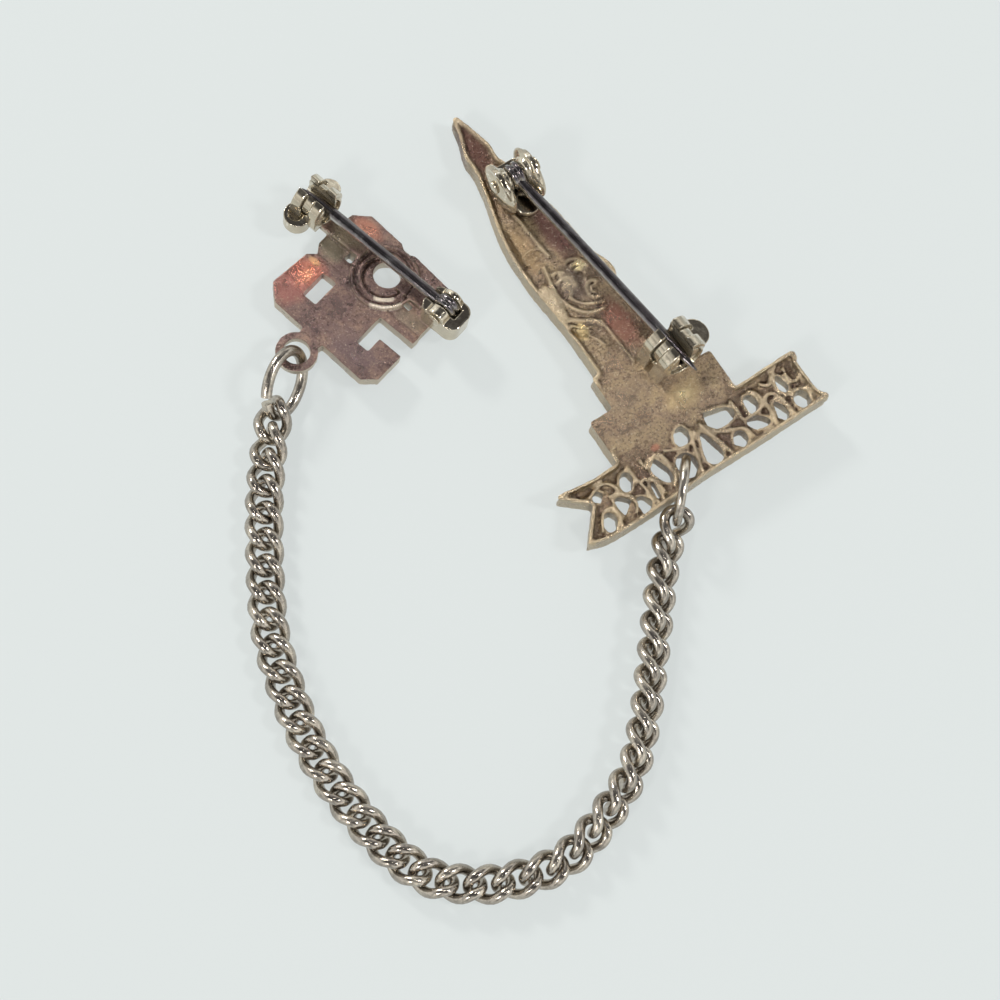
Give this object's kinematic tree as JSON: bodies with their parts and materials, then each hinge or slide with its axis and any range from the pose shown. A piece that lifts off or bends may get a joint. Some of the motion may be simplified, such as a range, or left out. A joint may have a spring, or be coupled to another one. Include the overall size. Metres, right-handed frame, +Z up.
{
  "type": "lapel pin set of a cast badge pin and a chained guard pin",
  "caption": "Cast tower badge pin with pierced banner and a small stepped guard pin, both with hinged stems and turning safety catches, joined by a curb chain.",
  "frame": {"origin": "on the table under the middle of the set, which lies face down", "axes": "+Z up, away from the table and out of the pins' backs; +Y towards the top of the view, where the guard pin and the badge's flame tip lie; +X to the right of the view"},
  "size_m": [0.0406, 0.056, 0.0062],
  "materials": {
    "badge_metal": "cast gold tone, tarnished brown",
    "guard_metal": "cast, copper-brown tarnish",
    "finding_metal": "polished pale gold tone",
    "stem_steel": "drawn dark steel wire",
    "chain_metal": "worn grey-brown plated wire"
  },
  "bodies": {
    "set": {"badge_plate": "badge_metal", "badge_rivet": "finding_metal", "badge_ring": "chain_metal", "link_01": "chain_metal", "link_02": "chain_metal", "link_03": "chain_metal", "link_04": "chain_metal", "link_05": "chain_metal", "link_06": "chain_metal", "link_07": "chain_metal", "link_08": "chain_metal", "link_09": "chain_metal", "link_10": "chain_metal", "link_11": "chain_metal", "link_12": "chain_metal", "link_13": "chain_metal", "link_14": "chain_metal", "link_15": "chain_metal", "link_16": "chain_metal", "link_17": "chain_metal", "link_18": "chain_metal", "link_19": "chain_metal", "link_20": "chain_metal", "link_21": "chain_metal", "link_22": "chain_metal", "link_23": "chain_metal", "link_24": "chain_metal", "link_25": "chain_metal", "link_26": "chain_metal", "link_27": "chain_metal", "link_28": "chain_metal", "link_29": "chain_metal", "link_30": "chain_metal", "link_31": "chain_metal", "link_32": "chain_metal", "link_33": "chain_metal", "link_34": "chain_metal", "link_35": "chain_metal", "link_36": "chain_metal", "link_37": "chain_metal", "link_38": "chain_metal", "guard_ring": "chain_metal", "guard_plate": "guard_metal", "guard_rivet": "finding_metal"},
    "badge_stem": {"badge_stem": "stem_steel"},
    "badge_catch": {"badge_catch_rotor": "finding_metal"},
    "guard_stem": {"guard_stem": "stem_steel"},
    "guard_catch": {"guard_catch_rotor": "finding_metal"}
  },
  "joints": [
    {"name": "badge_stem_hinge", "type": "hinge", "parent": "set", "child": "badge_stem", "pos_m": [-0.00174, 0.02275, 0.00384], "axis": [-0.8425, -0.5388, 0], "range_deg": [0, 100]},
    {"name": "badge_catch_turn", "type": "hinge", "parent": "set", "child": "badge_catch", "pos_m": [0.00925, 0.01008, 0.00441], "axis": [0.5818, -0.8126, 0.0349], "range_deg": [0, 110]},
    {"name": "guard_stem_hinge", "type": "hinge", "parent": "set", "child": "guard_stem", "pos_m": [-0.00651, 0.01322, 0.00288], "axis": [0.638, 0.7603, -0.1219], "range_deg": [0, 95]},
    {"name": "guard_catch_turn", "type": "hinge", "parent": "set", "child": "guard_catch", "pos_m": [-0.01574, 0.02096, 0.00288], "axis": [0.766, -0.6428, 0], "range_deg": [0, 110]}
  ]
}
